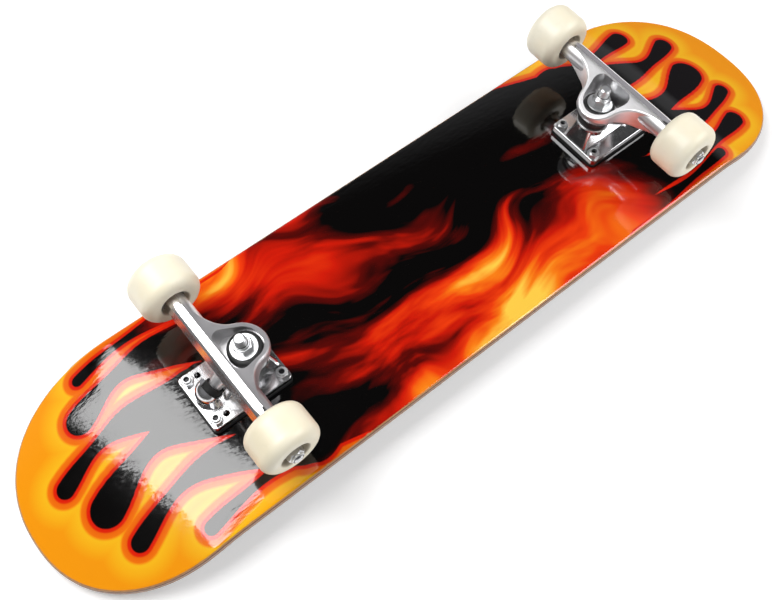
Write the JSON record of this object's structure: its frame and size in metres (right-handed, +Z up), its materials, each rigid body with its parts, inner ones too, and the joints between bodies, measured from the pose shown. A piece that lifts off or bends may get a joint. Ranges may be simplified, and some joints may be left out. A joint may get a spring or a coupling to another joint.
{
  "type": "skateboard",
  "caption": "Skateboard lying upside down: kicked, concave ply deck with grip tape, two cast trucks that steer on bushings, and urethane wheels that roll on shielded bearings.",
  "frame": {"origin": "on the floor under the middle of the deck, the board lying upside down on the tips of its nose and tail", "axes": "+X along the board to the nose, +Y across it, +Z up from the grip side to the wheels"},
  "size_m": [0.806, 0.203, 0.1239],
  "materials": {
    "deck_ply": "maple ply, printed face under gloss lacquer",
    "grip": "black abrasive grit on a plastic film",
    "cast_aluminium": "cast, tumbled and polished",
    "zinc_steel": "bright zinc plated",
    "black_steel": "black oxide",
    "axle_steel": "ground steel",
    "bearing_steel": "ground steel",
    "shield_steel": "pressed steel",
    "wheel_urethane": "cream white cast urethane",
    "bushing_urethane": "black cast urethane",
    "riser_rubber": "black moulded",
    "pivot_rubber": "black moulded"
  },
  "bodies": {
    "board": {"deck": "deck_ply", "grip_tape": "grip", "front_riser_pad": "riser_rubber", "front_baseplate": "cast_aluminium", "front_pivot_cup": "pivot_rubber", "front_kingpin": "zinc_steel", "front_kingpin_nut": "zinc_steel", "front_board_bushing": "bushing_urethane", "front_road_bushing": "bushing_urethane", "front_bushing_washers": "zinc_steel", "front_mounting_bolts": "black_steel", "front_mounting_nuts": "zinc_steel", "rear_riser_pad": "riser_rubber", "rear_baseplate": "cast_aluminium", "rear_pivot_cup": "pivot_rubber", "rear_kingpin": "zinc_steel", "rear_kingpin_nut": "zinc_steel", "rear_board_bushing": "bushing_urethane", "rear_road_bushing": "bushing_urethane", "rear_bushing_washers": "zinc_steel", "rear_mounting_bolts": "black_steel", "rear_mounting_nuts": "zinc_steel"},
    "front_hanger_body": {"front_hanger": "cast_aluminium", "front_axle": "axle_steel", "front_axle_nuts": "zinc_steel", "front_axle_washers": "zinc_steel", "front_bearing_spacers": "zinc_steel", "front_bearing_inner_races": "bearing_steel"},
    "front_left_wheel_body": {"front_left_wheel": "wheel_urethane", "front_left_bearing_outer_races": "bearing_steel", "front_left_bearing_shields": "shield_steel"},
    "front_right_wheel_body": {"front_right_wheel": "wheel_urethane", "front_right_bearing_outer_races": "bearing_steel", "front_right_bearing_shields": "shield_steel"},
    "rear_hanger_body": {"rear_hanger": "cast_aluminium", "rear_axle": "axle_steel", "rear_axle_nuts": "zinc_steel", "rear_axle_washers": "zinc_steel", "rear_bearing_spacers": "zinc_steel", "rear_bearing_inner_races": "bearing_steel"},
    "rear_left_wheel_body": {"rear_left_wheel": "wheel_urethane", "rear_left_bearing_outer_races": "bearing_steel", "rear_left_bearing_shields": "shield_steel"},
    "rear_right_wheel_body": {"rear_right_wheel": "wheel_urethane", "rear_right_bearing_outer_races": "bearing_steel", "rear_right_bearing_shields": "shield_steel"}
  },
  "joints": [
    {"name": "front_steer", "type": "hinge", "parent": "board", "child": "front_hanger_body", "pos_m": [0.231, 0, 0.0608], "axis": [-0.8575, 0, 0.5145], "range_deg": [-15, 15], "stiffness_Nm_per_rad": 60, "deforming": ["front_board_bushing", "front_road_bushing"]},
    {"name": "front_left_wheel_spin", "type": "hinge", "parent": "front_hanger_body", "child": "front_left_wheel_body", "pos_m": [0.214, 0.079, 0.0977], "axis": [0, 1, 0], "continuous": true},
    {"name": "front_right_wheel_spin", "type": "hinge", "parent": "front_hanger_body", "child": "front_right_wheel_body", "pos_m": [0.214, -0.079, 0.0977], "axis": [0, 1, 0], "continuous": true},
    {"name": "rear_steer", "type": "hinge", "parent": "board", "child": "rear_hanger_body", "pos_m": [-0.231, 0, 0.0608], "axis": [0.8575, 0, 0.5145], "range_deg": [-15, 15], "stiffness_Nm_per_rad": 60, "deforming": ["rear_board_bushing", "rear_road_bushing"]},
    {"name": "rear_left_wheel_spin", "type": "hinge", "parent": "rear_hanger_body", "child": "rear_left_wheel_body", "pos_m": [-0.214, 0.079, 0.0977], "axis": [0, 1, 0], "continuous": true},
    {"name": "rear_right_wheel_spin", "type": "hinge", "parent": "rear_hanger_body", "child": "rear_right_wheel_body", "pos_m": [-0.214, -0.079, 0.0977], "axis": [0, 1, 0], "continuous": true}
  ]
}
